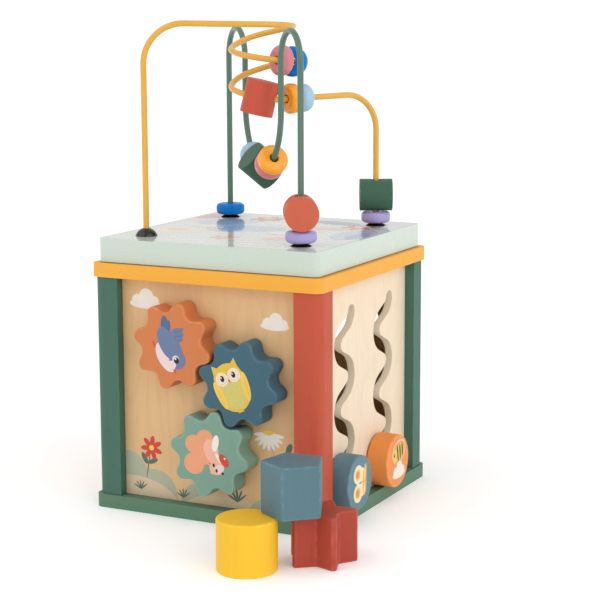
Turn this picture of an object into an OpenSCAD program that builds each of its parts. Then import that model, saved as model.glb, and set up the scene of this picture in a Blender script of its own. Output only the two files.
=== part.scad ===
// Wooden activity cube with meshing gears, two wavy slider tracks, a shape
// sorting panel, a lift-off lid that carries two bead mazes, and three blocks.
// Frame: origin at the centre of the base underside, +Z up, the gear panel
// faces -Y and the slider panel faces +X. All lengths are in millimetres.

/* [Box] */
// Side of the square base board
base_w = 200; // [198:0.5:202]
// Thickness of the base board
base_t = 11; // [9:0.5:13]
// Length of the four corner posts
post_h = 174.6; // [170:0.1:180]
// Side of a corner post
post_w = 22; // [20:0.5:24]
// Radius of the outer edge of a post
post_r = 9; // [4:0.5:10]
// Thickness of the side panels
panel_t = 6; // [5:0.5:7]
// Thickness of the rim frame
rim_t = 11; // [9:0.5:13]
// Clear opening of the rim frame
rim_open = 152; // [146:1:154]

/* [Lid] */
// Side of the square lid board
lid_w = 191.4; // [188:0.2:196]
// Thickness of the lid board
lid_t = 18.4; // [16:0.2:20]
// Side of the plug that drops into the rim
plug_w = 150; // [140:0.5:150]

/* [Gears] */
// Radius to the tooth tips of a gear
gear_r = 34.2; // [33.6:0.1:34.4]
// Thickness of a gear
gear_t = 18.4; // [14:0.1:22]
// Distance between the centres of meshing gears
gear_pitch = 62.2; // [62:0.1:63]
// Diameter of a gear axle
axle_d = 8; // [6:0.5:10]

/* [Sliders] */
// Width of the wavy slots
slot_w = 12; // [11.9:0.1:12.6]
// Diameter of a slider knob
knob_d = 42.8; // [38:0.2:42.8]
// Thickness of a slider knob
knob_t = 18.6; // [14:0.2:22]

/* [Beads and wires] */
// Diameter of both bent wires
wire_d = 4.8; // [4:0.1:5]
// Outer diameter of a ring bead
ring_d = 24; // [22:0.1:24.4]
// Thickness of a ring bead
ring_t = 9.4; // [8:0.1:9.4]
// Diameter of a cylinder bead
barrel_d = 26; // [24:0.1:26]
// Length of a cylinder bead
barrel_l = 26.5; // [24:0.1:27]
// Diameter of a round bead
lentil_d = 22.4; // [20:0.1:23]
// Thickness of a round bead
lentil_t = 12.6; // [11:0.1:13]

/* [Blocks] */
// Height of the three shape blocks
block_h = 38.6; // [34:0.2:40]
// Diameter of the round block
round_d = 44; // [40:0.2:45]
// Circumradius of the five-sided block
penta_r = 24.2; // [22:0.1:25]
// Radius to the blunt tips of the star block
star_r = 25.8; // [24:0.1:26.4]

/* [Hidden] */
$fn = 96;
eps = 0.01;

// Box heights and offsets
post_top = base_t + post_h;
rim_top = post_top + rim_t;
post_out = base_w / 2 - 1.2;
post_mid = post_out - post_w / 2;
post_in = post_out - post_w;
panel_out = 90.5;
panel_in = panel_out - panel_t;
groove_play = 0.1;
groove_depth = 5;
panel_l = 2 * (post_in + groove_depth - 0.2);
base_corner = 5.5;
rim_corner = 6.5;
screw_r = 2;
screw_head_r = 4;
screw_head_t = 2.6;
screw_l = 24;

// Lid heights
lid_gap = 0.6;
lid_low = rim_top + lid_gap;
lid_top = lid_low + lid_t;
lid_foot_w = 186;
plug_t = 6;
lid_corner = 5;
plug_screw = 52;
lid_screw_l = 16;

// Gears: a tip arc and a valley arc per tooth, joined by short straight flanks
teeth = 8;
tip_r = 5.5;
valley_r = 6.4;
tip_c = gear_r - tip_r;
valley_c = 33;
gear_gap = 0.8;
gear_back = panel_out + gear_gap;
arc_steps = 12;
line_a = -23.2;
line_b = -114.2;
gear_a = [-22.2, 138.2];
gear_b = gear_a + gear_pitch * [cos(line_a), sin(line_a)];
gear_c = gear_b + gear_pitch * [cos(line_b), sin(line_b)];
phase_a = -12.2;
phase_b = 31.2;
phase_c = -10.2;
axle_fit = 0.06;
axle_socket = 12;
retainer_d = 18;
retainer_t = 6;
retainer_gap = 0.5;

// Slider tracks: arcs about alternating centres joined by tangent runs
slot_rho = 11.45;
slot_amp = 12.5;
slot_step = 26.1;
slot_z = 32.7;
slot_turns = 6;
slot_trim = 14;
slot_ya = -39;
slot_yb = 33;
arc_off = slot_amp - slot_rho;
run_base = atan2(slot_step, 2 * arc_off);
run_tilt = acos(2 * slot_rho / norm([slot_step, 2 * arc_off]));
arc_span = 180 - run_base - run_tilt;
bush_d = 11.3;
stem_d = 8;
stem_fit = 0.06;
knob_gap = 0.9;
knob_x = panel_out + knob_gap;
stem_socket = 11;
keeper_d = 22;
keeper_t = 6;

// Wires
leg = 68;
leg_in_lid = 12;
leg_low = lid_top - leg_in_lid;
wire_r = wire_d / 2;
hole_fit = 0.05;
cap_r = 8.75;
cap_high = 6.5;
cap_low = 2.7;
arch_r = 24;
arch_h = 135.5;
u_h = 99;
diag = 2 * leg * sqrt(2);
u_r = diag / 2 - 2 * arch_r;
yarc_r = 31;
yleg_h = 133.6;
xarc_r = 29;
coil_r = 24.5;
coil_a0 = -60.2;
coil_sweep = 750;
coil_h = [163.6, 162.4, 160, 154.4, 145.8, 140.7, 136.6, 134.3, 132.4, 125, 115.4,
    109.6, 105.6];
coil_rise_in = -0.4;
coil_rise_out = 0.8;
exit_rise = 1.4;
sweep_sides = 12;
sweep_r = wire_r;

// Beads
ring_hole = 6.6;
barrel_hole = 10;
lentil_hole = 7.6;
ring_round = 3.4;
ring_seat = 2.4;
stack_gap = 0.3;
pair_angle = 27;

barrel_u_angle = -5.5;
lentil_u_angle = -33;
barrel_u_roll = 50;
coil_blue_a = 436;
coil_pink_a = 396;
coil_red_a = 713;
exit_orange_s = 11;

// Blocks
round_at = [83.6, -185.6, 0];
star_at = [122.4, -144.7, 0];
penta_at = [109.3, -162.2, block_h + 0.05];
star_in = 14.7;
star_tip_half = 1.8;
star_turn = -115.2;
penta_turn = -84;
hole_play = 1.4;
star_hole_at = [37, 129];
round_hole_at = [-37, 129];
penta_hole_at = [0, 61];

// Point on a circle in the plane
function polar(r, a) = r * [cos(a), sin(a)];

// Smooth value through the coil heights, with the slope set at both ends
function slope(k) = k <= 0 ? coil_rise_in : k >= len(coil_h) - 1 ? coil_rise_out
    : (coil_h[k + 1] - coil_h[k - 1]) / 2;
function blend(p, q, m, n, u) = (2 * u * u * u - 3 * u * u + 1) * p
    + (u * u * u - 2 * u * u + u) * m + (3 * u * u - 2 * u * u * u) * q
    + (u * u * u - u * u) * n;
function coil_z(a) = let(t = a / coil_sweep * (len(coil_h) - 1),
    k = min(max(floor(t), 0), len(coil_h) - 2))
    lid_top + blend(coil_h[k], coil_h[k + 1], slope(k), slope(k + 1), t - k);
function coil_at(a, r = coil_r) = [r * cos(coil_a0 + a), r * sin(coil_a0 + a), coil_z(a)];
function coil_climb(a) = atan2(coil_z(min(a + 1, coil_sweep)) - coil_z(max(a - 1, 0)),
    coil_r * PI / 180 * (min(a + 1, coil_sweep) - max(a - 1, 0)));

// Straight strands between the coil and the outer legs
in_dir = coil_a0 + 90;
out_dir = coil_a0 + coil_sweep + 90;
in_end = coil_at(0);
out_start = coil_at(coil_sweep);
in_h = lid_top + yleg_h + yarc_r;
out_h = out_start[2] + exit_rise;
out_to = concat([leg, leg] - polar(xarc_r, out_dir), [out_h]);
bend_n = 8;
coil_n = 54;
function bend_at(foot, low, r, dir, t) = concat(foot + polar(r * (1 - cos(t)), dir),
    [low + r * sin(t)]);
wire_path = concat([[-leg, -leg, leg_low]],
    [for (i = [0 : bend_n])
        bend_at([-leg, -leg], in_h - yarc_r, yarc_r, in_dir, 90 * i / bend_n)],
    [for (i = [0 : coil_n]) coil_at(coil_sweep * i / coil_n)],
    [for (i = [bend_n : -1 : 0])
        bend_at([leg, leg], out_h - xarc_r, xarc_r, out_dir + 180, 90 * i / bend_n)],
    [[leg, leg, leg_low]]);

// Gear outline: tip arc then valley arc for each tooth
tip_pt = polar(tip_c, 0);
valley_pt = polar(valley_c, 180 / teeth);
join_d = norm(valley_pt - tip_pt);
join_a = atan2(valley_pt[1] - tip_pt[1], valley_pt[0] - tip_pt[0])
    - acos((tip_r + valley_r) / join_d);
valley_half = join_a - 180 / teeth;
gear_outline = [for (i = [0 : teeth - 1]) each concat(
    [for (j = [0 : arc_steps]) polar(tip_c, 360 / teeth * i)
        + polar(tip_r, 360 / teeth * i + join_a * (2 * j / arc_steps - 1))],
    [for (j = [0 : arc_steps]) polar(valley_c, 360 / teeth * (i + 0.5))
        + polar(valley_r, 360 / teeth * (i + 0.5) + 180
            + valley_half * (1 - 2 * j / arc_steps))])];

// Centreline of a wavy track, as [y, z, heading] from the lowest bend upwards
function bend_c(c, k) = [c + (k % 2 == 0 ? -arc_off : arc_off), slot_z + slot_step * k];
function bend_pts(c, k) = let(s = k % 2 == 0 ? -1 : 1,
    lo = k == 0 ? 0 : -arc_span, hi = k == slot_turns - 1 ? -slot_trim : arc_span)
    [for (j = [0 : arc_steps]) let(t = lo + (hi - lo) * j / arc_steps)
        [bend_c(c, k)[0] + s * slot_rho * cos(t), bend_c(c, k)[1] + slot_rho * sin(t),
        s * t]];
function track(c) = [for (k = [0 : slot_turns - 1]) each bend_pts(c, k)];
function side(p, d) = [p[0] + d * cos(p[2]), p[1] + d * sin(p[2])];

// Square board with round upright edges
module board(w, t, r) {
    linear_extrude(t) {
        square([w - 2 * r, w], center = true);
        square([w, w - 2 * r], center = true);
        for (x = [-1, 1], y = [-1, 1])
            translate([x * (w / 2 - r), y * (w / 2 - r)])
                circle(r);
    }
}

// The four points a distance d from the centre along each diagonal
module at_corners(d) {
    for (x = [-1, 1], y = [-1, 1])
        translate([x * d, y * d, 0])
            children();
}

// Countersunk screw with its head up and flush with z = 0
module screw(l) {
    translate([0, 0, -screw_head_t])
        cylinder(h = screw_head_t, r1 = screw_r, r2 = screw_head_r);
    translate([0, 0, -l])
        cylinder(h = l - screw_head_t + eps, r = screw_r);
}

// Hole that the countersunk screw fills
module screw_hole(l) {
    translate([0, 0, -screw_head_t - hole_fit])
        cylinder(h = screw_head_t + 2 * hole_fit, r1 = screw_r + hole_fit,
            r2 = screw_head_r + 2 * hole_fit);
    translate([0, 0, -l - hole_fit])
        cylinder(h = l, r = screw_r + hole_fit);
}

module base_board() {
    color("#5f826c")
        difference() {
            board(base_w, base_t, base_corner);
            at_corners(post_mid)
                rotate([180, 0, 0])
                    screw_hole(screw_l);
        }
}

module base_screws() {
    color("silver")
        at_corners(post_mid)
            rotate([180, 0, 0])
                screw(screw_l);
}

// Corner post for the +X +Y corner, grooved for two panels
module post() {
    difference() {
        translate([post_in, post_in, base_t])
            linear_extrude(post_h) {
                square([post_w, post_w - post_r]);
                square([post_w - post_r, post_w]);
                translate([post_w - post_r, post_w - post_r])
                    circle(post_r);
            }
        translate([post_in - 1, panel_in - groove_play, base_t - 1])
            cube([groove_depth + 1, panel_t + 2 * groove_play, post_h + 2]);
        translate([panel_in - groove_play, post_in - 1, base_t - 1])
            cube([panel_t + 2 * groove_play, groove_depth + 1, post_h + 2]);
        translate([post_mid, post_mid, 0])
            rotate([180, 0, 0])
                screw_hole(screw_l);
        translate([post_mid, post_mid, rim_top])
            screw_hole(screw_l);
    }
}

module post_front_left() {
    color("#4a7062")
        rotate([0, 0, 180])
            post();
}

module post_front_right() {
    color("#bc5c46")
        rotate([0, 0, -90])
            post();
}

module post_back_right() {
    color("#4a7062")
        post();
}

module post_back_left() {
    color("#bc5c46")
        rotate([0, 0, 90])
            post();
}

module rim_frame() {
    color("#f0ac48")
        translate([0, 0, post_top])
            difference() {
                board(base_w, rim_t, rim_corner);
                translate([0, 0, -1])
                    board(rim_open, rim_t + 2, base_corner);
                at_corners(post_mid)
                    translate([0, 0, rim_t])
                        screw_hole(screw_l);
            }
}

module rim_screws() {
    color("silver")
        at_corners(post_mid)
            translate([0, 0, rim_top])
                screw(screw_l);
}

// Panel blank on the -Y side
module blank() {
    translate([-panel_l / 2, -panel_out, base_t])
        cube([panel_l, panel_t, post_h]);
}

module gear_panel() {
    color("#dcb482")
        difference() {
            blank();
            for (c = [gear_a, gear_b, gear_c])
                translate([c[0], -panel_in + 1, c[1]])
                    rotate([90, 0, 0])
                        cylinder(h = panel_t + 2, d = axle_d + 2 * axle_fit);
        }
}

module track_slot(c) {
    rail = track(c);
    last = len(rail) - 1;
    translate([panel_in - 1, 0, 0])
        rotate([90, 0, 90])
            linear_extrude(panel_t + 2) {
                polygon(concat([for (p = rail) side(p, slot_w / 2)],
                    [for (i = [last : -1 : 0]) side(rail[i], -slot_w / 2)]));
                for (p = [rail[0], rail[last]])
                    translate([p[0], p[1]])
                        circle(d = slot_w);
            }
}

module slider_panel() {
    color("#f0dec4")
        difference() {
            rotate([0, 0, 90])
                blank();
            track_slot(slot_ya);
            track_slot(slot_yb);
        }
}

// Star outline with blunt tips, one tip on +X
module star_2d(play = 0) {
    rt = star_r + play;
    ri = star_in + play;
    tip = star_tip_half + play / 2;
    polygon([for (i = [0 : 4]) each [
        polar(rt, 72 * i) - polar(tip, 72 * i + 90),
        polar(rt, 72 * i) + polar(tip, 72 * i + 90),
        polar(ri, 72 * i + 36)]]);
}

module penta_2d(play = 0) {
    circle(r = penta_r + play, $fn = 5);
}

// Place a flat outline through the +Y panel, with its first corner upwards
module through_back(at) {
    translate([at[0], panel_out + 1, at[1]])
        rotate([90, 0, 0])
            linear_extrude(panel_t + 2)
                rotate(90)
                    children();
}

module shape_panel() {
    color("#dcb482")
        difference() {
            rotate([0, 0, 180])
                blank();
            through_back(star_hole_at)
                star_2d(hole_play);
            through_back(penta_hole_at)
                penta_2d(hole_play);
            translate([round_hole_at[0], panel_out + 1, round_hole_at[1]])
                rotate([90, 0, 0])
                    cylinder(h = panel_t + 2, d = round_d + 2 * hole_play);
        }
}

module side_panel() {
    color("#dcb482")
        rotate([0, 0, -90])
            blank();
}

module gear(phase) {
    rotate([90, 0, 0])
        difference() {
            linear_extrude(gear_t)
                rotate(phase)
                    polygon(gear_outline);
            translate([0, 0, -1])
                cylinder(h = axle_socket + 1, d = axle_d);
        }
}

module at_gear(c) {
    translate([c[0], -gear_back, c[1]])
        children();
}

module axle() {
    rotate([90, 0, 0])
        translate([0, 0, -gear_gap - panel_t - retainer_gap - retainer_t])
            cylinder(h = gear_gap + panel_t + retainer_gap + retainer_t + axle_socket,
                d = axle_d);
}

module retainer() {
    rotate([-90, 0, 0])
        translate([0, 0, gear_gap + panel_t + retainer_gap])
            difference() {
                cylinder(h = retainer_t, d = retainer_d);
                translate([0, 0, -1])
                    cylinder(h = retainer_t + 2, d = axle_d);
            }
}

module gear_washers() {
    color("#e8e0d0")
        for (c = [gear_a, gear_b, gear_c])
            translate([c[0], -panel_out, c[1]])
                rotate([90, 0, 0])
                    difference() {
                        cylinder(h = gear_gap / 2, d = 2 * axle_d);
                        translate([0, 0, -1])
                            cylinder(h = gear_gap + 1, d = axle_d + 1);
                    }
}

module gear_orange() {
    color("#ce7e50")
        at_gear(gear_a)
            gear(phase_a);
}

module gear_blue() {
    color("#46677a")
        at_gear(gear_b)
            gear(phase_b);
}

module gear_teal() {
    color("#7da091")
        at_gear(gear_c)
            gear(phase_c);
}

module axle_orange() {
    color("#d8b88a")
        at_gear(gear_a)
            axle();
}

module axle_blue() {
    color("#d8b88a")
        at_gear(gear_b)
            axle();
}

module axle_teal() {
    color("#d8b88a")
        at_gear(gear_c)
            axle();
}

module retainer_orange() {
    color("#d8b88a")
        at_gear(gear_a)
            retainer();
}

module retainer_blue() {
    color("#d8b88a")
        at_gear(gear_b)
            retainer();
}

module retainer_teal() {
    color("#d8b88a")
        at_gear(gear_c)
            retainer();
}

// Slider pieces point along +X from the panel's outer face, at the track's foot
module at_track(c) {
    translate([0, c - slot_amp, slot_z])
        rotate([0, 90, 0])
            children();
}

module bush() {
    translate([0, 0, panel_in])
        difference() {
            cylinder(h = panel_t, d = bush_d);
            translate([0, 0, -1])
                cylinder(h = panel_t + 2, d = stem_d + 2 * stem_fit);
        }
}

module knob() {
    difference() {
        translate([0, 0, knob_x])
            cylinder(h = knob_t, d = knob_d);
        translate([0, 0, knob_x - 1])
            cylinder(h = stem_socket + 1, d = stem_d);
    }
}

module stem() {
    translate([0, 0, panel_in - knob_gap - keeper_t])
        cylinder(h = keeper_t + panel_t + 2 * knob_gap + stem_socket, d = stem_d);
}

module keeper() {
    translate([0, 0, panel_in - knob_gap - keeper_t])
        difference() {
            cylinder(h = keeper_t, d = keeper_d);
            translate([0, 0, -1])
                cylinder(h = keeper_t + 2, d = stem_d);
        }
}

module slider_bush_front() {
    color("#e8e0d0")
        at_track(slot_ya)
            bush();
}

module slider_bush_back() {
    color("#e8e0d0")
        at_track(slot_yb)
            bush();
}

module knob_blue() {
    color("#46677a")
        at_track(slot_ya)
            knob();
}

module knob_orange() {
    color("#ce7e50")
        at_track(slot_yb)
            knob();
}

module knob_stem_blue() {
    color("#d8b88a")
        at_track(slot_ya)
            stem();
}

module knob_stem_orange() {
    color("#d8b88a")
        at_track(slot_yb)
            stem();
}

module knob_keeper_blue() {
    color("#d8b88a")
        at_track(slot_ya)
            keeper();
}

module knob_keeper_orange() {
    color("#d8b88a")
        at_track(slot_yb)
            keeper();
}

module lid_board() {
    color("#cde2d3")
        difference() {
            translate([0, 0, lid_low])
                board(lid_w, lid_t, lid_corner);
            at_corners(leg)
                translate([0, 0, leg_low])
                    cylinder(h = leg_in_lid + 1, d = wire_d);
            at_corners(plug_screw)
                translate([0, 0, rim_top - plug_t])
                    rotate([180, 0, 0])
                        screw_hole(lid_screw_l);
        }
}

module lid_plug() {
    color("#dcb482")
        difference() {
            union() {
                translate([0, 0, rim_top])
                    board(lid_foot_w, lid_gap, lid_corner);
                translate([0, 0, rim_top - plug_t])
                    board(plug_w, plug_t + eps, lid_corner);
            }
            at_corners(plug_screw)
                translate([0, 0, rim_top - plug_t])
                    rotate([180, 0, 0])
                        screw_hole(lid_screw_l);
        }
}

module lid_screws() {
    color("silver")
        at_corners(plug_screw)
            translate([0, 0, rim_top - plug_t])
                rotate([180, 0, 0])
                    screw(lid_screw_l);
}

// Dome on the lid round one wire's foot; the caps under beads are lower
module cap_dome(h) {
    ball = (cap_r * cap_r + h * h) / (2 * h);
    difference() {
        intersection() {
            translate([0, 0, lid_top + h - ball])
                sphere(ball);
            translate([0, 0, lid_top])
                cylinder(h = h + 1, r = cap_r + 1);
        }
        translate([0, 0, lid_top - 1])
            cylinder(h = h + 2, r = wire_r + hole_fit);
    }
}

module wire_caps() {
    color("#202020")
        for (x = [-1, 1], y = [-1, 1])
            translate([x * leg, y * leg, 0])
                cap_dome(x + y < 0 ? cap_high : cap_low);
}

// Tube swept along points; every ring is upright across the local heading
function heading(pts, i) = let(a = pts[max(i - 1, 0)], b = pts[min(i + 1, len(pts) - 1)])
    (b - a) / norm(b - a);
function level(h, flat) = norm([h[0], h[1]]) > 0.05 ? [-h[1], h[0], 0] : [-sin(flat),
    cos(flat), 0];
function ring_pts(p, h, r, flat) = let(u = level(h, flat) / norm(level(h, flat)),
    v = cross(h, u))
    [for (j = [0 : sweep_sides - 1]) p + r * (cos(360 / sweep_sides * j) * u
        + sin(360 / sweep_sides * j) * v)];

module tube(pts, r, flat_a, flat_b) {
    n = len(pts);
    m = sweep_sides;
    polyhedron(
        points = [for (i = [0 : n - 1])
            each ring_pts(pts[i], heading(pts, i), r, i < n / 2 ? flat_a : flat_b)],
        faces = concat([[for (j = [0 : m - 1]) j]],
            [for (i = [0 : n - 2], j = [0 : m - 1])
                [i * m + j, (i + 1) * m + j, (i + 1) * m + (j + 1) % m,
                i * m + (j + 1) % m]],
            [[for (j = [m - 1 : -1 : 0]) (n - 1) * m + j]]),
        convexity = 8);
}

module yellow_wire() {
    color("#e2aa4b")
        tube(wire_path, sweep_r, in_dir, out_dir);
}

// Half ring of wire in the X-Z plane, above its centre
module half_bend(r) {
    rotate([90, 0, 0])
        rotate_extrude(angle = 180)
            translate([r, 0])
                circle(wire_r);
}

// Frame of the arched wire: x runs along the diagonal from the rear leg
module on_diagonal() {
    translate([-leg, leg, lid_top])
        rotate([0, 0, -45])
            children();
}

module green_wire() {
    color("#5a7d6c")
        on_diagonal()
            union() {
                for (s = [0, diag])
                    translate([s, 0, -leg_in_lid])
                        cylinder(h = arch_h + leg_in_lid, r = wire_r);
                for (s = [2 * arch_r, diag - 2 * arch_r])
                    translate([s, 0, u_h])
                        cylinder(h = arch_h - u_h, r = wire_r);
                for (s = [arch_r, diag - arch_r])
                    translate([s, 0, arch_h])
                        half_bend(arch_r);
                translate([diag / 2, 0, u_h])
                    rotate([180, 0, 0])
                        half_bend(u_r);
            }
}

// Ring bead with a round edge, its hole along Z
module ring_bead() {
    rotate_extrude() {
        translate([ring_hole / 2, -ring_t / 2 + 1])
            square([ring_d / 2 - ring_hole / 2 - ring_round, ring_t - 2]);
        translate([ring_hole / 2 + 1, -ring_t / 2])
            square([ring_d / 2 - ring_hole / 2 - 1 - ring_round, ring_t]);
        translate([ring_d / 2 - ring_round - eps, -ring_t / 2 + ring_round])
            square([ring_round + eps, ring_t - 2 * ring_round]);
        for (s = [-1, 1]) {
            translate([ring_hole / 2 + 1, s * (ring_t / 2 - 1)])
                circle(1);
            translate([ring_d / 2 - ring_round, s * (ring_t / 2 - ring_round)])
                circle(ring_round);
        }
    }
}

// Cylinder bead lying along X with its cross hole along Z
module barrel_bead() {
    difference() {
        rotate([0, 90, 0])
            cylinder(h = barrel_l, d = barrel_d, center = true);
        cylinder(h = barrel_d + 2, d = barrel_hole, center = true);
    }
}

// Flattened round bead, its hole along Z
module lentil_bead() {
    edge = lentil_t / 2;
    difference() {
        union() {
            rotate_extrude()
                intersection() {
                    translate([lentil_d / 2 - edge, 0])
                        circle(edge);
                    translate([0, -edge])
                        square([lentil_d, 2 * edge]);
                }
            cylinder(h = lentil_t, r = lentil_d / 2 - edge, center = true);
        }
        cylinder(h = lentil_t + 2, d = lentil_hole, center = true);
    }
}

// Bead on an upright leg, turned about the leg
module on_leg(x, y, h, turn = 0) {
    translate([x * leg, y * leg, lid_top + h])
        rotate([0, 0, turn])
            children();
}

// Bead on the hanging bend at an angle from its lowest point
module on_u(a, drop, along = 0) {
    on_diagonal()
        translate([diag / 2, 0, u_h])
            rotate([0, -a, 0])
                translate([along, 0, -u_r - drop])
                    rotate([0, 90, 0])
                        children();
}

// Bead on the coil after a turn of a degrees, moved inwards by shift
module on_coil(a, shift, tip = 0) {
    translate(coil_at(a, coil_r - shift))
        rotate([0, 90 - coil_climb(a) - tip, coil_a0 + a + 90])
            children();
}

// Bead on the straight strand that leaves the coil
module on_exit(s) {
    run = out_to - out_start;
    translate(out_start + run * s / norm(run))
        rotate([0, 90 - atan2(exit_rise, norm([run[0], run[1]])), out_dir])
            children();
}

module ring_rear_blue() {
    color("#1478cd")
        on_leg(-1, 1, ring_seat + ring_t / 2)
            ring_bead();
}

module ring_near_lilac() {
    color("#aaa0d7")
        on_leg(1, -1, ring_seat + ring_t / 2)
            ring_bead();
}

module barrel_near_red() {
    color("#c8644b")
        on_leg(1, -1, ring_seat + ring_t + stack_gap + barrel_d / 2, -60)
            barrel_bead();
}

module ring_right_lilac() {
    color("#aaa0d7")
        on_leg(1, 1, ring_seat + ring_t / 2)
            ring_bead();
}

module barrel_right_green() {
    color("#3c6e55")
        on_leg(1, 1, ring_seat + ring_t + stack_gap + barrel_d / 2, 27)
            barrel_bead();
}

module lentil_u_blue() {
    color("#a5c8e1")
        on_u(lentil_u_angle, -0.3)
            lentil_bead();
}

module barrel_u_green() {
    color("#3c6e55")
        on_u(barrel_u_angle, -0.4)
            rotate([0, 0, barrel_u_roll])
                barrel_bead();
}

module ring_u_pink() {
    color("#d77d82")
        on_u(pair_angle, -0.4, -ring_t / 2 - stack_gap / 2)
            ring_bead();
}

module ring_u_orange() {
    color("#ffaa28")
        on_u(pair_angle, -0.4, ring_t / 2 + stack_gap / 2)
            ring_bead();
}

module ring_coil_blue() {
    color("#1478cd")
        on_coil(coil_blue_a, 0.2)
            ring_bead();
}

module ring_coil_pink() {
    color("#d77d82")
        on_coil(coil_pink_a, 0.2)
            ring_bead();
}

module barrel_coil_red() {
    color("#b94b3c")
        on_coil(coil_red_a, 1.7, -2)
            barrel_bead();
}

module ring_coil_orange() {
    color("#ffaa28")
        on_exit(exit_orange_s)
            ring_bead();
}

module lentil_coil_blue() {
    color("#a5c8e1")
        on_exit(exit_orange_s + ring_t / 2 + lentil_t / 2 + stack_gap)
            lentil_bead();
}

module block_round() {
    color("#f5c33c")
        translate(round_at)
            cylinder(h = block_h, d = round_d);
}

module block_penta() {
    color("#46677a")
        translate(penta_at)
            linear_extrude(block_h)
                rotate(penta_turn)
                    penta_2d();
}

module block_star() {
    color("#b04a3c")
        translate(star_at)
            linear_extrude(block_h)
                rotate(star_turn)
                    star_2d();
}

base_board();
base_screws();
post_front_left();
post_front_right();
post_back_right();
post_back_left();
rim_frame();
rim_screws();
gear_panel();
slider_panel();
shape_panel();
side_panel();
gear_washers();
gear_orange();
gear_blue();
gear_teal();
axle_orange();
axle_blue();
axle_teal();
retainer_orange();
retainer_blue();
retainer_teal();
slider_bush_front();
slider_bush_back();
knob_blue();
knob_orange();
knob_stem_blue();
knob_stem_orange();
knob_keeper_blue();
knob_keeper_orange();
lid_board();
lid_plug();
lid_screws();
wire_caps();
yellow_wire();
green_wire();
ring_rear_blue();
ring_near_lilac();
barrel_near_red();
ring_right_lilac();
barrel_right_green();
lentil_u_blue();
barrel_u_green();
ring_u_pink();
ring_u_orange();
ring_coil_blue();
ring_coil_pink();
barrel_coil_red();
ring_coil_orange();
lentil_coil_blue();
block_round();
block_penta();
block_star();
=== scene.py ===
"""Wooden activity cube: its painted pieces, prints, bead wires, blocks, light and camera."""
import logging
import math
from dataclasses import dataclass
from enum import Enum

import bmesh
import bpy
from mathutils import Matrix, Vector


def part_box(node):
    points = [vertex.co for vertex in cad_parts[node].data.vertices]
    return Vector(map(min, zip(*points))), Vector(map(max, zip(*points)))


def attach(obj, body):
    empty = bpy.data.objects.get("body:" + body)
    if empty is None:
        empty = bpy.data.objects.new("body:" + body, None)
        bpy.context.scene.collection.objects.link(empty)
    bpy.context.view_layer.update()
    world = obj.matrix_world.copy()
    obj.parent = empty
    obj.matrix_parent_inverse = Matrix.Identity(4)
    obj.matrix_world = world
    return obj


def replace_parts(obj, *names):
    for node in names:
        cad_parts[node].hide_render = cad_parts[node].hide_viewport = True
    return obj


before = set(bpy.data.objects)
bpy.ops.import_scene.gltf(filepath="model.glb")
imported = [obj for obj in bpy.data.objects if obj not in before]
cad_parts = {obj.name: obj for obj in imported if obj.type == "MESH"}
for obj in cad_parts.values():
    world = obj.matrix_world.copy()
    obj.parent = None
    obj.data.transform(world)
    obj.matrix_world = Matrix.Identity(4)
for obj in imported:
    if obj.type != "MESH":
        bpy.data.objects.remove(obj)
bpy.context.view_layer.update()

log = logging.getLogger("activity_cube")
# Short names for the types of shader trees, their sockets and editable meshes.
Tree = bpy.types.NodeTree
Socket = bpy.types.NodeSocket
Mesh = bmesh.types.BMesh
MM = 0.001
# Material index that marks a bevelled strip until its colour attribute is written.
STRIP = 9
# Colour attribute that is white on eased edges, where paint wears first.
EASED = "eased"


def add(name: str, data: bpy.types.ID) -> bpy.types.Object:
    """Makes an object of some data and links it to the scene."""
    made = bpy.data.objects.new(name, data)
    bpy.context.scene.collection.objects.link(made)
    return made


def middle(node: str) -> Vector:
    """Middle of a CAD node's box, in millimetres."""
    low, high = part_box(node)
    return Vector([(a + b) / 2 / MM for a, b in zip(low, high)])


# ---------------------------------------------------------------- shader groups
def new_group(name: str, inputs: dict[str, float | tuple],
              outputs: tuple[str, ...]) -> Tree:
    """Makes an empty shader node group with named sockets.

    Args:
        name: name of the group.
        inputs: default value of each input; three numbers are a vector, four a colour.
        outputs: name of each output, which is a colour where it is called Color.

    Returns:
        The node tree, holding only its group input and output nodes.
    """
    tree = bpy.data.node_groups.new(name, "ShaderNodeTree")
    for label, value in inputs.items():
        size = len(value) if isinstance(value, tuple) else 1
        kind = {1: "Float", 3: "Vector", 4: "Color"}[size]
        tree.interface.new_socket(label, in_out="INPUT", socket_type=f"NodeSocket{kind}"
                                  ).default_value = value
    for label in outputs:
        kind = "Color" if label == "Color" else "Float"
        tree.interface.new_socket(label, in_out="OUTPUT",
                                  socket_type=f"NodeSocket{kind}")
    tree.nodes.new("NodeGroupInput").name = "in"
    tree.nodes.new("NodeGroupOutput").name = "out"
    return tree


def noise(tree: Tree, vector: Socket, scale: float, detail: float, rough: float
          ) -> Socket:
    """Adds a noise texture and returns its value socket.

    Args:
        tree: tree that the node goes in.
        vector: coordinates.
        scale: texture scale.
        detail: octaves of noise.
        rough: weight of the fine octaves.

    Returns:
        The noise value, about 0.3 to 0.7.
    """
    node = tree.nodes.new("ShaderNodeTexNoise")
    for label, number in (("Scale", scale), ("Detail", detail), ("Roughness", rough)):
        node.inputs[label].default_value = number
    tree.links.new(vector, node.inputs["Vector"])
    return node.outputs["Fac"]


def ramp(tree: Tree, value: Socket, low: float, high: float) -> Socket:
    """Maps a value from low to high onto 0 to 1, clamped."""
    node = tree.nodes.new("ShaderNodeMapRange")
    node.inputs["From Min"].default_value = low
    node.inputs["From Max"].default_value = high
    tree.links.new(value, node.inputs["Value"])
    return node.outputs["Result"]


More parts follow.
